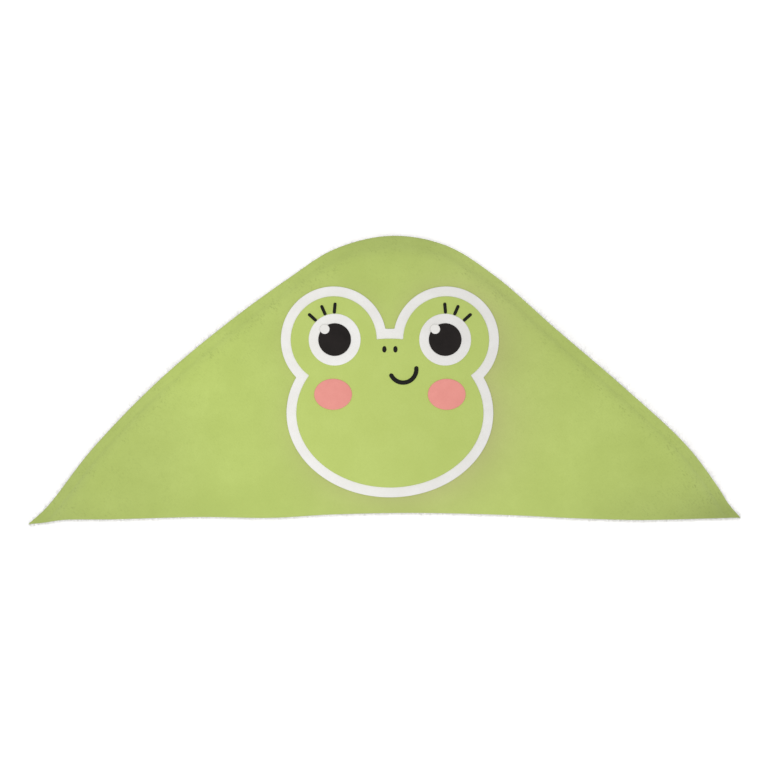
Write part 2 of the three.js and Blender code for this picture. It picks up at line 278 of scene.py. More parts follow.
EDGE_ROWS = np.array([0, 0.06, 0.2, 0.45, 0.8, 1.3, 2.0, 2.8])  # from a cloth's edge inwards


def sheet_between(name, xs, low_y, high_y, top, thickness, material, edge, rows):
    """A closed cloth over the plan between two edges, with its edges rounded.

    top(x, y) is the height of its upper face; edge is the reach of its rounding.
    """
    columns = len(xs)
    span = np.maximum(high_y - low_y, 1e-3)
    widest = EDGE_ROWS[-1] + 1
    bands = [np.minimum(widest, span / 3) * row / widest for row in EDGE_ROWS]
    grid_y = [low_y + band for band in bands]
    grid_y += [low_y + bands[-1] + m * (span - 2 * bands[-1]) for m in np.linspace(0, 1, rows)[1:-1]]
    grid_y += [high_y - band for band in bands[::-1]]
    grid_y = np.array(grid_y)
    grid_x = np.repeat(xs[None, :], len(grid_y), 0)
    upper = top(grid_x, grid_y)
    slope = np.gradient(high_y, xs), np.gradient(low_y, xs)
    from_high = (high_y - grid_y) / np.sqrt(1 + slope[0] ** 2)
    from_low = (grid_y - low_y) / np.sqrt(1 + slope[1] ** 2)
    from_end = np.minimum(xs - xs[0], xs[-1] - xs)
    near = np.clip(np.minimum(np.minimum(from_high, from_low), from_end) / edge, 0, 1)
    swell = np.sqrt(1 - (1 - near) ** 2)
    middle_z = upper - thickness / 2
    skins = [
        np.stack([grid_x, grid_y, middle_z + way * swell * thickness / 2], -1).reshape(-1, 3)
        for way in (1, -1)]
    faces = grid_faces(len(grid_y), columns) + grid_faces(len(grid_y), columns, grid_y.size, True)
    piece = make_object(name, np.vstack(skins), faces, material)
    merge_close(piece)
    return piece


def merge_close(piece, distance=2e-6):
    """Joins vertices that lie together, so that a piece built in parts is closed, and faces it outwards."""
    work = bmesh.new()
    work.from_mesh(piece.data)
    bmesh.ops.remove_doubles(work, verts=work.verts, dist=distance)
    bmesh.ops.delete(work, geom=[v for v in work.verts if not v.link_faces], context="VERTS")
    bmesh.ops.recalc_face_normals(work, faces=work.faces)
    if work.calc_volume(signed=True) < 0:
        bmesh.ops.reverse_faces(work, faces=work.faces)
    work.to_mesh(piece.data)
    work.free()
    for polygon in piece.data.polygons:
        polygon.use_smooth = True


def normals_of(outline):
    """Inward normals of a closed outline that runs anticlockwise."""
    along = np.roll(outline, -1, 0) - np.roll(outline, 1, 0)
    along /= np.linalg.norm(along, axis=1)[:, None]
    return np.stack([-along[:, 1], along[:, 0]], 1)


def resample(outline, step):
    """A closed outline again, with points about step apart."""
    loop = np.vstack([outline, outline[:1]])
    length = np.concatenate([[0], np.cumsum(np.linalg.norm(np.diff(loop, axis=0), axis=1))])
    count = max(12, int(round(length[-1] / step)))
    at = np.linspace(0, length[-1], count, endpoint=False)
    return np.stack([np.interp(at, length, loop[:, k]) for k in (0, 1)], 1)


def fill(outline, spacing):
    """Triangles over a closed outline, with inner points on a grid: (points, triangles)."""
    low, high = outline.min(0), outline.max(0)
    xs = np.arange(low[0] + spacing / 2, high[0], spacing)
    ys = np.arange(low[1] + spacing / 2, high[1], spacing)
    gx, gy = (g.ravel() for g in np.meshgrid(xs, ys))
    far = line_distance(gx, gy, np.vstack([outline, outline[:1]])) > 0.45 * spacing
    points = [Vector(p) for p in outline] + [Vector(p) for p in np.stack([gx, gy], 1)[far]]
    found = delaunay_2d_cdt(points, [], [list(range(len(outline)))], 1, 1e-5)
    return np.array([tuple(v) for v in found[0]]), [tuple(f) for f in found[2]]


def patch(name, outline, lift, thickness, material, spacing=2.2, step=0.7, edge=0.4):
    """A closed piece of felt that follows the hood, lift above it, with a rounded edge."""
    outline = resample(np.asarray(outline, float), step)
    inward = normals_of(outline)
    vertices = []
    count = len(outline)
    profile = [(0, 0), (0, thickness - edge)]
    for a in (0.4, 0.8, 1.2, math.pi / 2):
        profile.append((edge * (1 - math.cos(a)), thickness - edge + edge * math.sin(a)))
    for inset, height in profile:
        ring = outline + inward * inset
        z = hood_top(ring[:, 0], ring[:, 1]) + lift + height
        vertices.extend(np.column_stack([ring, z]))
    faces = tube_faces(len(profile), count)
    for ring, height, flip in ((outline + inward * edge, thickness, False), (outline, 0, True)):
        points, triangles = fill(ring, spacing)
        z = hood_top(points[:, 0], points[:, 1]) + lift + height
        first = len(vertices)
        vertices.extend(np.column_stack([points, z]))
        faces.extend([tuple(first + k for k in (t[::-1] if flip else t)) for t in triangles])
    piece = make_object(name, vertices, faces, material)
    merge_close(piece, 4e-6)
    return piece


def ellipse(x, y, rx, ry, count=96, start=0.0, end=2 * math.pi):
    t = np.linspace(start, end, count, endpoint=end - start < 2 * math.pi - 1e-6)
    return np.stack([x + rx * np.cos(t), y + ry * np.sin(t)], 1)


def head_outline(drawn_in):
    """The chin's ellipse joined with two round eye lobes, drawn in by a width."""
    x, y = FACE[:2]
    rx, ry = FACE[2] - drawn_in, FACE[3] - drawn_in
    lobe_x, lobe_rx, lobe_ry = LOBE[0], LOBE[1] - drawn_in, LOBE[2] - drawn_in
    chin = ellipse(0, y, rx, ry, 721, -math.pi / 2, math.pi / 2)
    bulge = ellipse(lobe_x, EYE_Y, lobe_rx, lobe_ry, 721, -math.pi, math.pi * 0.9999)
    in_bulge = np.hypot((chin[:, 0] - lobe_x) / lobe_rx, (chin[:, 1] - EYE_Y) / lobe_ry) < 1
    in_chin = (bulge[:, 0] / rx) ** 2 + ((bulge[:, 1] - y) / ry) ** 2 < 1
    first, last = np.flatnonzero(in_bulge)[[0, -1]]
    out = np.flatnonzero(~in_chin)
    right = np.vstack([chin[:first], bulge[out], chin[last + 1 :]])
    left = right[::-1][1:-1] * (-1, 1)
    return np.vstack([right, left]) + (x, 0)


STITCH_PITCH, RIB_HEIGHT, RIB_SPREAD = 0.42, 0.10, 0.3
STITCH_SUNK = 0.02


def stroke(name, centreline, width, height, lift, material, oval=False):
    """Satin stitches along a centreline: raised, ribbed, and round at their ends or oval all over."""
    line = np.asarray(centreline, float)
    length = np.concatenate([[0], np.cumsum(np.linalg.norm(np.diff(line, axis=0), axis=1))])
    count = int(length[-1] / (STITCH_PITCH / 4)) + 1
    at = np.linspace(0, length[-1], count)
    line = np.stack([np.interp(at, length, line[:, k]) for k in (0, 1)], 1)
    along = np.gradient(line, axis=0)
    along /= np.linalg.norm(along, axis=1)[:, None]
    side = np.stack([-along[:, 1], along[:, 0]], 1)
    across = np.linspace(-1, 1, 13)
    end = np.minimum(at, length[-1] - at)
    rounding = length[-1] / 2 if oval else width / 2
    taper = np.sqrt(np.clip(1 - (1 - np.clip(end / rounding, 0, 1)) ** 2, 0.0004, 1))
    rib = RIB_HEIGHT * np.cos(2 * math.pi * at / STITCH_PITCH)
    vertices = []
    for crown in (1, 0):
        for i in range(count):
            half = taper[i] * width / 2 * (1 + RIB_SPREAD * rib[i])
            for t in across:
                rise = height * math.sqrt(max(0, 1 - t * t)) * taper[i] * (1 + rib[i])
                vertices.append((*(line[i] + side[i] * t * half), rise if crown else -STITCH_SUNK))
    vertices = np.array(vertices)
    vertices[:, 2] += hood_top(vertices[:, 0], vertices[:, 1]) + lift
    columns, total = len(across), count * len(across)
    faces = grid_faces(count, columns, 0, True) + grid_faces(count, columns, total)
    rim = [i * columns for i in range(count)] + [(count - 1) * columns + k for k in range(1, columns)]
    rim += [i * columns + columns - 1 for i in range(count - 2, -1, -1)] + list(range(columns - 2, 0, -1))
    for a, b in zip(rim, rim[1:] + rim[:1]):
        faces.append((a, b, b + total, a + total))
    piece = make_object(name, vertices, faces, material)
    merge_close(piece, 1e-7)
    return piece


# ---- materials ----
def new_material(name):
    material = bpy.data.materials.new(name)
    material.use_nodes = True
    nodes = material.node_tree.nodes
    nodes.clear()
    output = nodes.new("ShaderNodeOutputMaterial")
    shader = nodes.new("ShaderNodeBsdfPrincipled")
    material.node_tree.links.new(shader.outputs[0], output.inputs[0])
    return material, shader


def finish_cloth(material, shader, colours, height, bump, depth, roughness=0.95, specular=0.15, sheen=0.25):
    """Sets a cloth's colours, its bump from a height, and its gloss and sheen."""
    bumps = add_node(material, "ShaderNodeBump", [("Height", height)], Strength=bump, Distance=depth * MM)
    material.node_tree.links.new(colours, shader.inputs["Base Color"])
    material.node_tree.links.new(bumps.outputs[0], shader.inputs["Normal"])
    shader.inputs["Roughness"].default_value = roughness
    shader.inputs["Specular IOR Level"].default_value = specular
    shader.inputs["Sheen Weight"].default_value = sheen
    shader.inputs["Sheen Roughness"].default_value = 0.5
    return material


def darker(colour, share=0.86):
    return tuple(c * share for c in colour)


def add_node(material, kind, links=(), **values):
    """A node with its input values, and links as (input name, output socket)."""
    node = material.node_tree.nodes.new(kind)
    for key, value in values.items():
        if key in node.inputs:
            node.inputs[key].default_value = value
        else:
            setattr(node, key, value)
    for name, socket in links:
        material.node_tree.links.new(socket, node.inputs[name])
    return node


def noise(material, place, scale, detail=3.0, roughness=0.5):
    """Noise with features about scale millimetres across."""
    return add_node(
        material, "ShaderNodeTexNoise", [("Vector", place)],
        Scale=1 / (scale * MM), Detail=detail, Roughness=roughness,
    ).outputs["Fac"]


def ramp(material, value, low, high, out_low=0.0, out_high=1.0):
    return add_node(
        material, "ShaderNodeMapRange", [("Value", value)],
        **{"From Min": low, "From Max": high, "To Min": out_low, "To Max": out_high},
    ).outputs[0]


def mix_colour(material, factor, a, b, mode="MIX"):
    """A colour mix; a and b are colours or sockets, factor a number or a socket."""
    node = material.node_tree.nodes.new("ShaderNodeMix")
    node.data_type = "RGBA"
    node.blend_type = mode
    for socket, value in ((node.inputs[0], factor), (node.inputs[6], a), (node.inputs[7], b)):
        if isinstance(value, bpy.types.NodeSocket):
            material.node_tree.links.new(value, socket)
        elif isinstance(value, (int, float)):
            socket.default_value = value
        else:
            socket.default_value = (*value, 1)
    return node.outputs[2]


def linear(r, g, b):
    """An sRGB colour, 0 to 255, as linear values."""
    return tuple((c / 255 / 12.92) if c <= 10 else ((c / 255 + 0.055) / 1.055) ** 2.4 for c in (r, g, b))


def attribute(material, name):
    return add_node(material, "ShaderNodeAttribute", attribute_name=name).outputs["Fac"]


def maths(material, operation, *values):
    """A maths node; each value is a number or a socket."""
    node = add_node(material, "ShaderNodeMath", operation=operation)
    for socket, value in zip(node.inputs, values):
        if isinstance(value, bpy.types.NodeSocket):
            material.node_tree.links.new(value, socket)
        else:
            socket.default_value = value
    return node.outputs[0]


def nap_flecks(material, place, turn):
    """Short dark strokes where the pile parts: 1 where a fleck is, in patches."""
    turned = add_node(
        material, "ShaderNodeMapping", [("Vector", place)], vector_type="TEXTURE",
        Rotation=(0, 0, turn), Scale=(2.3 * MM, 1.1 * MM, 2.3 * MM))
    cells = add_node(
        material, "ShaderNodeTexVoronoi", [("Vector", turned.outputs[0])], Scale=1.0, Randomness=1.0)
    spots = ramp(material, cells.outputs["Distance"], 0.05, 0.42, 1, 0)
    patches = ramp(material, noise(material, place, 7, 4, 0.6), 0.36, 0.62)
    return maths(material, "MULTIPLY", spots, patches)


def velour_material(name, colour, shade):
    """Green velour: mottled pile with parted flecks, with painted shading, a painted face shadow and fleck
    values from its mesh.
    """
    material, shader = new_material(name)
    place = add_node(material, "ShaderNodeTexCoord").outputs["Object"]
    broad = ramp(material, noise(material, place, 30, 3), 0.36, 0.66)
    middle = ramp(material, noise(material, place, 5, 4, 0.6), 0.3, 0.75)
    fine = ramp(material, noise(material, place, 0.7, 3, 0.65), 0.25, 0.8)
    colours = mix_colour(material, broad, colour, shade)
    colours = mix_colour(material, maths(material, "MULTIPLY", middle, 0.5), colours, shade)
    colours = mix_colour(material, ramp(material, fine, 0, 1, 0.26, 0.0), colours, darker(shade))
    across = maths(material, "MULTIPLY", nap_flecks(material, place, 0.6), 0.6)
    flecks = maths(material, "MAXIMUM", nap_flecks(material, place, -0.75), across)
    flecks = maths(material, "MULTIPLY", flecks, attribute(material, "fleck"))
    colours = mix_colour(material, flecks, colours, darker(shade, 0.79))
    # A painted shadow beside the face.
    colours = mix_colour(material, attribute(material, "painted_face_shadow"), colours, PAINTED_SHADOW_COLOUR)
    # Painted shading from the mesh, darkening green most and blue least.
    painted_shading = attribute(material, "painted_shading")
    warm = add_node(material, "ShaderNodeCombineColor")
    for socket, power in zip(warm.inputs, (0.94, 1.0, 0.72)):
        material.node_tree.links.new(maths(material, "POWER", painted_shading, power), socket)
    colours = mix_colour(material, 1.0, colours, warm.outputs[0], "MULTIPLY")
    height = maths(material, "SUBTRACT", maths(material, "ADD", fine, middle), flecks)
    return finish_cloth(material, shader, colours, height, 0.35, 0.42)


def pile_material(name, colour, shade, bump=0.35, loops=0.7, mottling=6.0, sheen=0.25, with_painted_shading=False):
    """Cotton pile: a base colour, mottled towards a shade, with fine tufts; painted shading from its mesh
    multiplied in if asked.
    """
    material, shader = new_material(name)
    place = add_node(material, "ShaderNodeTexCoord").outputs["Object"]
    broad = ramp(material, noise(material, place, mottling * 4, 3), 0.35, 0.7)
    middle = ramp(material, noise(material, place, mottling, 4, 0.6), 0.3, 0.75)
    fine = ramp(material, noise(material, place, loops, 3, 0.65), 0.25, 0.8)
    colours = mix_colour(material, broad, colour, shade)
    colours = mix_colour(material, middle, colours, mix_colour(material, 0.5, colours, shade))
    colours = mix_colour(material, ramp(material, fine, 0, 1, 0.30, 0.0), colours, darker(shade))
    # Painted shade from the mesh.
    if with_painted_shading:
        colours = mix_colour(material, 1.0, colours, attribute(material, "painted_shading"), "MULTIPLY")
    height = maths(material, "ADD", fine, middle)
    return finish_cloth(material, shader, colours, height, bump, loops * 0.6, sheen=sheen)


def terry_material(name, colour, shade):
    """White terry: looped pile, with a cell for each loop."""
    material, shader = new_material(name)
    place = add_node(material, "ShaderNodeTexCoord").outputs["Object"]
    wobble = add_node(
        material, "ShaderNodeTexNoise", [("Vector", place)], Scale=1 / (3 * MM), Detail=2.0).outputs["Color"]
    shifted = add_node(material, "ShaderNodeMix", [(4, place), (5, wobble)], data_type="VECTOR")
    shifted.inputs[0].default_value = 0.0006
    cells = add_node(
        material, "ShaderNodeTexVoronoi", [("Vector", shifted.outputs[1])],
        Scale=1 / (1.35 * MM), Randomness=0.85, feature="SMOOTH_F1", Smoothness=0.4)
    loop = ramp(material, cells.outputs["Distance"], 0.1, 0.75, 1, 0)
    fluff = noise(material, place, 0.5, 3, 0.6)
    broad = ramp(material, noise(material, place, 22, 3), 0.35, 0.7)
    colours = mix_colour(material, broad, colour, shade)
    colours = mix_colour(material, ramp(material, loop, 0, 1, 0.4, 0.0), colours, darker(shade))
    height = maths(material, "ADD", loop, ramp(material, fluff, 0.3, 0.8, -0.2, 0.2))
    return finish_cloth(material, shader, colours, height, 0.55, 0.8, 1.0, 0.1, 0.2)


GREEN = linear(190, 208, 116)
GREEN_SHADE = linear(181, 199, 107)
# The colour of the painted shadow beside the face.
PAINTED_SHADOW_COLOUR = linear(176, 162, 130)
HOOD_VELOUR = velour_material("hood_velour", GREEN, GREEN_SHADE)
FACE_VELOUR = pile_material(
    "face_velour", linear(190, 207, 116), linear(185, 202, 110), bump=0.25, mottling=5, with_painted_shading=True)
TERRY = terry_material("white_terry", linear(250, 248, 244), linear(244, 241, 235))
PILE = pile_material("loose_pile", linear(236, 235, 232), linear(228, 227, 224), 0.1, 0.4, 3, 0.1)
FELT_WHITE = pile_material(
    "white_felt", linear(244, 243, 240), linear(237, 235, 231), 0.25, 0.4, 3, 0.1, with_painted_shading=True)
FELT_BLACK = pile_material("black_felt", linear(30, 27, 26), linear(38, 34, 33), 0.3, 0.4, 3, 0.02)
FELT_PINK = pile_material("pink_felt", linear(233, 154, 145), linear(226, 146, 137), 0.25, 0.4, 3, 0.1)


def thread_material(name, colour, shade):
    """Embroidery thread: fine strands with a soft gloss."""
    material, shader = new_material(name)
    place = add_node(material, "ShaderNodeTexCoord").outputs["Object"]
    strands = noise(material, place, 0.25, 2)
    colours = mix_colour(material, ramp(material, strands, 0.3, 0.7), colour, shade)
    return finish_cloth(material, shader, colours, strands, 0.3, 0.1, 0.6, 0.2, 0.0)


THREAD_BLACK = thread_material("black_thread", linear(12, 11, 7), linear(20, 18, 13))
THREAD_WHITE = thread_material("white_thread", linear(231, 229, 226), linear(225, 223, 219))


# ---- the hood and the towel's corner ----
def columns_across(half_width, count):
    """Plan positions across the hood, crowded towards its tips."""
    t = np.linspace(-1, 1, count)
    return half_width * (1.18 * t - 0.18 * t**3)


def store(piece, name, values):
    """Keeps one number per vertex on a mesh, for its material."""
    layer = piece.data.attributes.new(name, "FLOAT", "POINT")
    layer.data.foreach_set("value", np.asarray(values, np.float32))


def plan_of(piece):
    """The x and y of a mesh's vertices."""
    flat = np.empty(len(piece.data.vertices) * 3)
    piece.data.vertices.foreach_get("co", flat)
    return flat[::3] / MM, flat[1::3] / MM


def shade_hood(piece):
    """Painted shading, painted shadow and fleck values: a painted darker rim, seam and tips, and a soft
    painted shadow beside the face.
    """
    x, y = plan_of(piece)
    d = line_distance(x, y, SEWN[::2])
    from_hem = y - hem_y(x)
    uneven = 0.6 + 0.4 * ripple(x, y, 40, 6)
    # Painted shade: darker towards the rim, along the seam and by the left of the hem.
    painted_shading = 1 - RIM_PAINTED_SHADE[0] * np.exp(-d / RIM_PAINTED_SHADE[1]) - EDGE_PAINTED_SHADE[0] * np.exp(-((d / EDGE_PAINTED_SHADE[1]) ** 2))
    right_slope = ease((x - 15) / 20) * ease((120 - x) / 40)
    seam = np.exp(-(((d - SEAM_AT) / SEAM_REACH) ** 2))
    painted_shading -= (SEAM_PAINTED_SHADE * uneven + SEAM_PAINTED_SHADE_RIGHT * right_slope) * seam
    painted_shading -= HEM_PAINTED_SHADE[0] * np.exp(-from_hem / HEM_PAINTED_SHADE[1]) * ease((70 - x) / 60)
    # Patches of painted shade, and of painted light where the depth is negative.
    for px, py, reach_x, reach_y, depth in PAINTED_SHADE_PATCHES:
        painted_shading -= depth * np.exp(-(((x - px) / reach_x) ** 2) - ((y - py) / reach_y) ** 2)
    store(piece, "painted_shading", painted_shading)
    # A painted shadow round the face, deeper and wider to its lower right.
    outline = head_outline(0)[::4]
    away = line_distance(x, y, np.vstack([outline, outline[:1]]))
    lee = 0.2 + 0.8 * (np.cos(np.arctan2(y, x - FACE[0]) - PAINTED_SHADOW_TOWARDS) + 1) / 2
    store(piece, "painted_face_shadow", PAINTED_SHADOW_DEPTH * lee * np.exp(-away / (PAINTED_SHADOW_REACH + PAINTED_SHADOW_REACH_LEE * lee)))
    beside_seam = np.exp(-(((d - 8.5) / 2.2) ** 2))
    low_corners = ease((np.abs(x) - 95) / 50) * np.exp(-from_hem / 22)
    flecks = FLECKS + SEAM_FLECKS * beside_seam + RIM_FLECKS * np.exp(-d / 22) + CORNER_FLECKS * low_corners
    store(piece, "fleck", np.clip(flecks, 0, 1))


def shade_face(piece, brightest, fall):
    """Painted shade for a piece of the face: a little greyer towards the right."""
    across = (plan_of(piece)[0] - FACE[0]) / FACE[2]
    store(piece, "painted_shading", brightest - fall * ease(across * 0.52 + 0.46))


even_xs = columns_across(HALF_WIDTH, 331)
hood_xs = np.interp(
    even_xs, [-HALF_WIDTH, -STRETCH_FROM, HALF_WIDTH], [-HALF_WIDTH - LEFT_TIP, -STRETCH_FROM, HALF_WIDTH])
hood = sheet_between(
    "hood_cloth", hood_xs, hem_y(hood_xs), sewn_y(hood_xs), hood_top, VELOUR, HOOD_VELOUR, edge=1.6, rows=96)
shade_hood(hood)
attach(hood, "hood_half")
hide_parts("hood_outer")


def lining_top(x, y):
    return hood_top(x, y) - VELOUR - CLEARANCE


lining_xs = columns_across(HALF_WIDTH - 3.5, 201)
lining = sheet_between(
    "hood_lining_cloth", lining_xs, hem_y(lining_xs) + 1.6, sewn_y(lining_xs) - 1.2, lining_top, LINING,
    TERRY, edge=0.8, rows=40)
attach(lining, "hood_half")
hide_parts("hood_lining")

# Between the bundle's sides the towel's corner steps back to the last fold, with columns close to each step.
steps = [side * SIDE_FOLD + beside for side in (-1, 1) for beside in (-0.3, 0.3)]
corner_xs = np.unique(np.concatenate([columns_across(HALF_WIDTH - 0.5, 201), steps]))
corner_low = np.where(np.abs(corner_xs) < SIDE_FOLD, FOLD_START_Y, hem_y(corner_xs) + 0.4)
corner = sheet_between(
    "towel_corner_cloth", corner_xs, corner_low, sewn_y(corner_xs) - 0.25, corner_top, LAYER, TERRY,
    edge=1.0, rows=48)
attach(corner, "hood_half")
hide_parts("towel_hood_half")


# ---- the pile past the hood's edge ----
def edge_pile():
    """Loose ends of the white terry, which show past the green edge all round, a third more at the hem."""
    generator = np.random.default_rng(5)
    loop = resample(np.vstack([HEM[:-1], SEWN[::-1][:-1]]), 1 / PILE_PER_MM)
    outward = -normals_of(loop)
    more = np.flatnonzero(outward[:, 1] < -0.9)[::3]
    order = np.concatenate([np.arange(len(loop)), more])
    loop, outward = loop[order], outward[order]
    at_hem = outward[:, 1] < -0.9
    count = len(loop)
    tangent = np.stack([-outward[:, 1], outward[:, 0]], 1)
    root = loop - outward * 0.5 + tangent * generator.uniform(-0.5, 0.5, (count, 1)) / PILE_PER_MM
    length = np.minimum(generator.exponential(PILE_LENGTH, count), LONGEST_PILE) + SHORTEST_PILE
    length[at_hem] = np.minimum(HEM_PILE * length[at_hem], LONGEST_HEM_PILE)
    length *= 1 - CROWN_SHORTER * ease((root[:, 1] - CROWN_FROM) / CROWN_SPAN)
    lean = generator.normal(0, PILE_LEAN, count)
    lift = generator.normal(*PILE_LIFT, count)
    low = hood_top(root[:, 0], root[:, 1]) - VELOUR * 0.75 - generator.uniform(0, PILE_DEPTH, count)
    turns = np.arange(3) * 2 * math.pi / 3
    vertices = np.empty((count, PILE_RINGS, 3, 3))
    for k, t in enumerate(np.linspace(0, 1, PILE_RINGS)):
        plan = root + outward * (length * t)[:, None] + tangent * (length * lean * t * t)[:, None]
        z = low + length * lift * t * t
        radius = PILE_RADIUS * (1 - 0.5 * t)
        for j, a in enumerate(turns):
            vertices[:, k, j, :2] = plan + tangent * radius * math.cos(a)
            vertices[:, k, j, 2] = z + radius * math.sin(a)
    faces = []
    for a in range(0, count * PILE_RINGS * 3, PILE_RINGS * 3):
        for k in range(PILE_RINGS - 1):
            for j in range(3):
                b, c = a + 3 * k + j, a + 3 * k + (j + 1) % 3
                faces.append((b, c, c + 3, b + 3))
        last = a + 3 * (PILE_RINGS - 1)
        faces += [(a + 2, a + 1, a), (last, last + 1, last + 2)]
    return make_object("hood_edge_pile", vertices.reshape(-1, 3), faces, PILE)


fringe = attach(edge_pile(), "hood_half")


# ---- the folded layers ----
OUTLINE_STEP = 3.0
SKIRT = 4.0  # how far the fold's rounded edge and the flat ring behind it reach in
SKIN_GAP = 0.1  # half the gap between the two layers of a pair


def bundle_outline(front_y):
    """The bundle's plan, anticlockwise: sides folded in, corners rounded."""
    along = np.gradient(SEWN, axis=0)
    along /= np.linalg.norm(along, axis=1)[:, None]
    line = SEWN + np.stack([along[:, 1], -along[:, 0]], 1) * STACK_INSET
    side = SIDE_FOLD
    line = line[(np.abs(line[:, 0]) < side) & (line[:, 1] > front_y)]
    left_y, right_y = np.interp((-side, side), line[:, 0], line[:, 1])
    loop = np.vstack([[(side, front_y), (side, right_y)], line[::-1], [(-side, left_y), (-side, front_y)]])
    loop = resample(loop, OUTLINE_STEP)
    for _ in range(6):
        loop = (np.roll(loop, 1, 0) + 2 * loop + np.roll(loop, -1, 0)) / 4
    return resample(loop, OUTLINE_STEP)


def folded_pair(outline, low, high, seed, vertices, faces):
    """Two layers joined all round by a fold: an outer skin, and the inner skin between them."""
    count = len(outline)
    inward = normals_of(outline)
    u = np.arange(count) / count * 2 * math.pi
    generator = np.random.default_rng(seed)
    wave = sum(
        generator.uniform(0.2, 0.5) * np.sin(k * u + generator.uniform(0, 6.3)) for k in (2, 3, 5, 8, 13, 21))
    outline = outline + inward * (0.8 + wave * 0.8)[:, None]
    centre = np.array([outline[:, 0].mean(), outline[:, 1].mean()])
    middle, half = (low + high) / 2, (high - low) / 2
    inner = outline + inward * SKIRT

    def ring(inset, z):
        """A ring of points, inset in millimetres up to SKIRT and then by share of the way to the centre."""
        if inset <= SKIRT:
            plan = outline + inward * inset
        else:
            plan = inner + (centre - inner) * (inset - SKIRT)
        return np.column_stack([plan, np.full(count, z)])

    flat_insets = [3.2] + [SKIRT + share for share in (0, 0.08, 0.2, 0.35, 0.5, 0.65, 0.8, 0.9, 0.97)]
    for gap, start in ((half, 0), (SKIN_GAP, half - 2 * SKIN_GAP)):
        turns = (0.0, 0.45, 0.9, 1.25, 1.57)
        upper = [(start + gap * (1 - math.cos(a)), middle + gap * math.sin(a)) for a in turns]
        upper += [(inset, middle + gap) for inset in flat_insets]
        lower = [(inset, 2 * middle - z) for inset, z in upper]
        rings = [ring(*r) for r in upper[::-1] + lower[1:]]
        first = len(vertices)
        for r in rings:
            vertices.extend(r)
        top_cap = len(vertices)
        vertices.extend([np.array([*centre, middle + gap]), np.array([*centre, middle - gap])])
        last = first + (len(rings) - 1) * count
        around = [(i, (i + 1) % count) for i in range(count)]
        quads = []
        for a in range(first, last, count):
            quads += [(a + i, a + count + i, a + count + j, a + j) for i, j in around]
        for i, j in around:
            quads += [(top_cap, first + i, first + j), (top_cap + 1, last + j, last + i)]
        faces.extend(quads if gap == half else [q[::-1] for q in quads])


def fold_stack(name, low, high, fronts, seed, body, replaced):
    """Pairs of layers one on the other, each with its own front edge."""
    vertices, faces = [], []
    step = (high - low) / len(fronts)
    for k, front in enumerate(fronts):
        bottom = low + k * step + 0.02
        folded_pair(bundle_outline(front), bottom, low + (k + 1) * step - 0.02, seed + k, vertices, faces)
    piece = make_object(name, np.array(vertices), faces, TERRY)
    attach(piece, body)
    if replaced:
        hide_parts(replaced)
    return piece


upper_folds = fold_stack(
    "towel_upper_folds", SPLIT_Z + CLEARANCE, STACK_TOP - LAYER, (-63.2, -65.2, -66.2, -63), 21,
    "hood_half", None)
lower_folds = fold_stack(
    "towel_lower_folds", LAYER, SPLIT_Z, (-60.2, -61.4, -61.4, -61.8), 41,
    "tucked_half", "towel_tucked_half")


# ---- the sheet that wraps the last fold ----
END_ROUND, END_TURN = 8.0, math.radians(78)
FRONT_DEPTH, WRAP_EDGE = 5.5, 0.8
WRAP_STRAIGHT = SIDE_FOLD - END_ROUND
WRAP_HALF = WRAP_STRAIGHT + END_ROUND * END_TURN


def wrap_section():
    """Outer face of the wrap in the YZ plane, from inside the hood's mouth to under the bundle."""
    points = [
        (FOLD_START_Y, STACK_TOP), (-59.5, STACK_TOP - 0.15), (-64.8, 27.9), (-69, 25.6),
        (CREASE_Y, CREASE_Z), (-69.3, 19.4), (-67, 15.8), (-65.7, 11.5), (-65.5, 7), (-64.2, 2.6),
        (-60, 0.35), (FOLD_START_Y, 0),
    ]
    return catmull_rom(points, 110)


def wrap_plan(s, depth):
    """Plan of the wrap, s along the fold and depth inwards: its ends turn round the bundle's corners."""
    turn = np.maximum(np.abs(s) - WRAP_STRAIGHT, 0) / END_ROUND
    front = np.minimum(depth, FRONT_DEPTH)
    x = np.sign(s) * (np.minimum(np.abs(s), WRAP_STRAIGHT) + (END_ROUND - front) * np.sin(turn))
    y = CREASE_Y + END_ROUND - (END_ROUND - front) * np.cos(turn) + depth - front
    flat = ease((depth - FRONT_DEPTH) / (FOLD_START_Y - CREASE_Y - FRONT_DEPTH))
    return x + flat * (s * SIDE_FOLD / WRAP_HALF - x), y + flat * (CREASE_Y + depth - y)


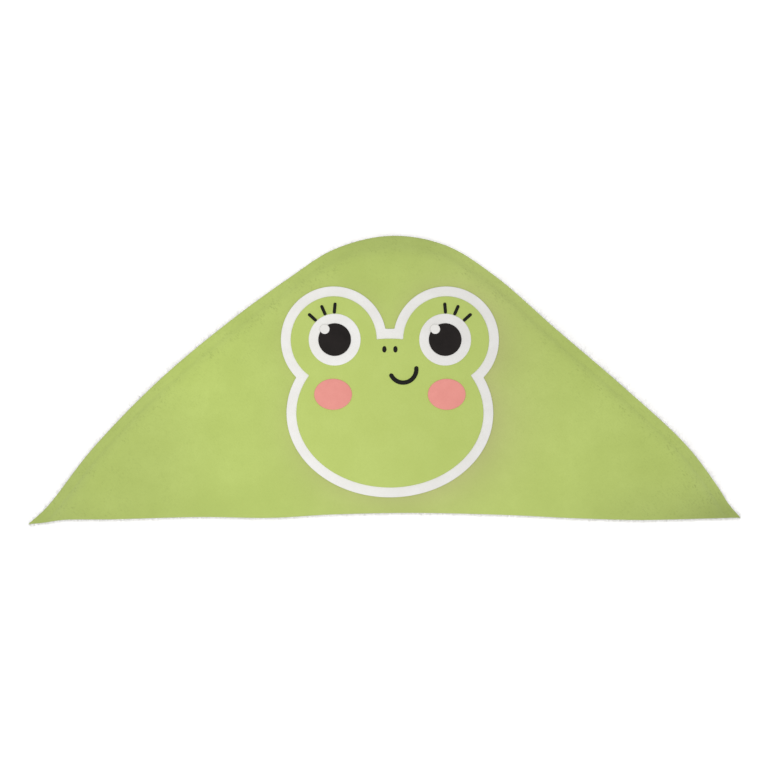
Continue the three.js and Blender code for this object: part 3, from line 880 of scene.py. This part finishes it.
def wrap_cloth():
    """The outer cloth round the last fold, with loose waves away from its crease."""
    section = wrap_section()
    along = np.gradient(section, axis=0)
    along /= np.linalg.norm(along, axis=1)[:, None]
    inward = np.stack([-along[:, 1], along[:, 0]], 1)
    xs = columns_across(WRAP_HALF, 261)
    near = np.clip((WRAP_HALF - np.abs(xs)) / WRAP_EDGE, 0, 1)
    swell = np.sqrt(1 - (1 - near) ** 2)
    vertices = []
    rows, columns = len(section), len(xs)
    for side in (1, -1):
        offset = LAYER / 2 * (1 - side * swell)
        for k in range(rows):
            t = k / (rows - 1)
            loose = math.sin(math.pi * t) * (1 - math.exp(-(((section[k, 1] - CREASE_Z) / 4.5) ** 2)))
            wave = 0.9 * ripple(xs, 0 * xs, 95, 7) + 0.22 * ripple(xs, 60 * t, 21, 9)
            wave = wave + 0.4 * np.cos(2 * math.pi * (2.6 * t + 0.5 * ripple(xs, 0 * xs, 140, 8)))
            wave = wave * ease((WRAP_HALF - np.abs(xs)) / 14)
            x, y = wrap_plan(xs, section[k, 0] - CREASE_Y + inward[k, 0] * (offset - loose * wave))
            z = section[k, 1] + inward[k, 1] * (offset - loose * wave)
            vertices.extend(np.column_stack([x, y, z]))
    count = rows * columns
    faces = grid_faces(rows, columns, 0, True) + grid_faces(rows, columns, count)
    for a in range(columns - 1):
        b = count - columns + a
        faces += [(a, a + 1, a + 1 + count, a + count), (b + 1, b, b + count, b + 1 + count)]
    piece = make_object("towel_wrap_cloth", np.array(vertices), faces, TERRY)
    merge_close(piece)
    return piece


wrap = wrap_cloth()
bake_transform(wrap)


def flat_layer(name, outline, low, high, body):
    """One flat layer with a rounded edge."""
    count = len(outline)
    inward = normals_of(outline)
    half, middle, edge = (high - low) / 2, (low + high) / 2, 0.8
    turns = np.linspace(-math.pi / 2, math.pi / 2, 9)
    vertices = []
    for a in turns:
        ring = outline + inward * edge * (1 - math.cos(a))
        vertices.extend(np.column_stack([ring, np.full(count, middle + half * math.sin(a))]))
    faces = tube_faces(len(turns), count)
    points, triangles = fill(outline + inward * edge, 6.0)
    for z, flip in ((high, False), (low, True)):
        first = len(vertices)
        vertices.extend(np.column_stack([points, np.full(len(points), z)]))
        faces.extend([tuple(first + k for k in (t[::-1] if flip else t)) for t in triangles])
    piece = make_object(name, vertices, faces, TERRY)
    merge_close(piece, 4e-6)
    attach(piece, body)
    return piece


underside = flat_layer(
    "towel_underside_cloth", bundle_outline(FOLD_START_Y + 0.4), 0.0, LAYER - 0.02, "tucked_half")


# ---- seam stitches under the rim ----
STITCH_INSET = 4.5


def seam_stitches():
    """Short stitches along the sewn edge, under the towel's corner."""
    along = np.gradient(SEWN, axis=0)
    along /= np.linalg.norm(along, axis=1)[:, None]
    line = SEWN + np.stack([along[:, 1], -along[:, 0]], 1) * STITCH_INSET
    line = line[np.abs(line[:, 0]) < SIDE_FOLD + 4]
    length = np.concatenate([[0], np.cumsum(np.linalg.norm(np.diff(line, axis=0), axis=1))])
    vertices, faces = [], []
    pitch, stitch, radius, sides = 3.2, 2.5, 0.28, 6
    dip = np.array([0.35, 0.12, 0, 0, 0, 0.12, 0.35])
    size = np.array([0.5, 0.85, 1, 1, 1, 0.85, 0.5]) * radius
    rings = len(size)
    for start in np.arange(0, length[-1] - stitch, pitch):
        at = start + np.linspace(0, stitch, rings)
        x, y = (np.interp(at, length, line[:, k]) for k in (0, 1))
        z = corner_top(x, y) - LAYER - 0.12
        way = np.array([x[-1] - x[0], y[-1] - y[0]])
        way /= np.linalg.norm(way)
        first = len(vertices)
        for k in range(rings):
            for a in np.arange(sides) * 2 * math.pi / sides:
                vertices.append((
                    x[k] - way[1] * size[k] * math.cos(a), y[k] + way[0] * size[k] * math.cos(a),
                    z[k] + dip[k] + size[k] * math.sin(a)))
        faces += tube_faces(rings, sides, first)
        faces.append(tuple(range(first + sides - 1, first - 1, -1)))
        faces.append(tuple(range(first + (rings - 1) * sides, first + rings * sides)))
    piece = make_object("hood_seam_stitches", np.array(vertices), faces, THREAD_WHITE)
    merge_close(piece, 1e-9)
    return piece


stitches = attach(seam_stitches(), "hood_half")
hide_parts("hood_seam_thread")


# ---- the face ----
def place_face(piece, node, slot_name):
    """Puts a piece of the face on the hood, in place of its CAD node."""
    # Painted shade on the white felt and the green face, greyer to the right.
    if slot_name in FACE_PAINTED_SHADING:
        shade_face(piece, *FACE_PAINTED_SHADING[slot_name])
    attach(piece, "hood_half")
    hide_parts(node)
    return piece


BACKING, PATCH, FELT, APART = 0.75, 0.6, 0.45, 0.02
BACKING_LIFT = 0.05
PATCH_LIFT = BACKING_LIFT + BACKING + APART
FACE_LIFT = PATCH_LIFT + PATCH + APART
PUPIL_LIFT = FACE_LIFT + FELT + APART

backing = patch("face_backing_felt", head_outline(0), BACKING_LIFT, BACKING, FELT_WHITE)
place_face(backing, "face_backing", "white_felt")
green_face = patch("face_velour", head_outline(BORDER), PATCH_LIFT, PATCH, FACE_VELOUR)
place_face(green_face, "face_patch", "green_face_velour")
for side_name, side in (("left", -1), ("right", 1)):
    eye_x = FACE[0] + side * EYE_X
    white = patch(
        f"eye_white_felt_{side_name}", ellipse(eye_x, EYE_Y, EYE_WHITE, EYE_WHITE),
        FACE_LIFT, FELT, FELT_WHITE)
    place_face(white, f"eye_white_{side_name}", "white_felt")
    pupil = patch(
        f"pupil_felt_{side_name}", ellipse(eye_x, EYE_Y, PUPIL, PUPIL),
        PUPIL_LIFT, FELT, FELT_BLACK)
    place_face(pupil, f"pupil_{side_name}", "black_felt")
    glint = patch(
        f"eye_glint_stitches_{side_name}",
        ellipse(eye_x + GLINT_AT[0], EYE_Y + GLINT_AT[1], GLINT, GLINT, 48),
        PUPIL_LIFT + FELT + APART, 0.32, THREAD_WHITE, spacing=0.8, step=0.4, edge=0.3)
    place_face(glint, f"eye_glint_{side_name}", "white_thread")
    cheek = patch(
        f"cheek_felt_{side_name}", ellipse(FACE[0] + side * CHEEK[0], CHEEK[1], CHEEK[2], CHEEK[3]),
        FACE_LIFT, FELT, FELT_PINK)
    place_face(cheek, f"cheek_{side_name}", "pink_felt")
    nostril_x = FACE[0] + side * NOSTRIL[0]
    nostril = stroke(
        f"nostril_stitches_{side_name}",
        [(nostril_x, NOSTRIL[1] - NOSTRIL[3]), (nostril_x, NOSTRIL[1] + NOSTRIL[3])],
        2 * NOSTRIL[2], 0.45, FACE_LIFT, THREAD_BLACK, oval=True)
    place_face(nostril, f"nostril_{side_name}", "black_thread")
    for number, (degrees, lean) in enumerate(LASHES, 1):
        middle = (LASH_FROM + LASH_TO) / 2
        ends = []
        for r in (LASH_FROM, LASH_TO):
            at, way = math.radians(degrees), math.radians(degrees + lean)
            out = middle * math.cos(at) + (r - middle) * math.cos(way)
            up = middle * math.sin(at) + (r - middle) * math.sin(way)
            ends.append((eye_x - side * out, EYE_Y + up))
        lash = stroke(
            f"lash_stitches_{side_name}_{number}", ends, LASH_WIDTH, 0.5, FACE_LIFT, THREAD_BLACK)
        place_face(lash, f"lash_{side_name}_{number}", "black_thread")

# The round ends taper, so the arc runs a little past the angles seen.
SMILE_PAST = 8
smile_arc = ellipse(
    SMILE[0], SMILE[1], SMILE[2], SMILE[2], 60,
    math.radians(SMILE_FROM - SMILE_PAST), math.radians(SMILE_TO + SMILE_PAST))
smile = stroke("smile_stitches", smile_arc, SMILE_WIDTH, 0.55, FACE_LIFT, THREAD_BLACK)
place_face(smile, "smile", "black_thread")


# ---- floor, light and camera ----
def floor():
    """A plain white floor in metres, just under the towel so that the two never lie in one plane."""
    mesh = bpy.data.meshes.new("floor")
    size, z = 40.0, -0.0003
    corners = [(-size, -size, z), (size, -size, z), (size, size, z), (-size, size, z)]
    mesh.from_pydata(corners, [], [(0, 1, 2, 3)])
    piece = bpy.data.objects.new("floor", mesh)
    bpy.context.scene.collection.objects.link(piece)
    material, shader = new_material("floor")
    shader.inputs["Base Color"].default_value = (0.9, 0.9, 0.9, 1)
    shader.inputs["Roughness"].default_value = 0.9
    shader.inputs["Emission Color"].default_value = (1, 1, 1, 1)
    shader.inputs["Emission Strength"].default_value = 0.34
    mesh.materials.append(material)


def softbox(name, position, size, power):
    """A round soft lamp turned to the origin, its position and size in metres."""
    light = bpy.data.lights.new(name, "AREA")
    light.shape = "DISK"
    light.size = size
    light.energy = power
    lamp = bpy.data.objects.new(name, light)
    lamp.location = position
    lamp.rotation_euler = (-Vector(position)).to_track_quat("-Z", "Y").to_euler()
    lamp.visible_camera = False
    bpy.context.scene.collection.objects.link(lamp)


def world(strength):
    made = bpy.data.worlds.new("studio")
    made.use_nodes = True
    made.node_tree.nodes["Background"].inputs[0].default_value = (1, 1, 1, 1)
    made.node_tree.nodes["Background"].inputs[1].default_value = strength
    bpy.context.scene.world = made


def camera():
    """Straight down on the hood from far off, in metres."""
    view_width, lens = 0.4105, 250.0
    data = bpy.data.cameras.new("camera")
    data.lens = lens
    data.sensor_width = 36.0
    made = bpy.data.objects.new("camera", data)
    made.location = (-0.0008, -0.0024, 0.036 + view_width * lens / 36.0)
    bpy.context.scene.collection.objects.link(made)
    bpy.context.scene.camera = made


floor()
softbox("key", (-0.07, -0.06, 0.46), 0.34, 0.66)
softbox("fill", (1.1, -0.5, 1.7), 1.4, 2.5)
world(0.72)
camera()
bpy.context.scene.view_settings.view_transform = "Standard"
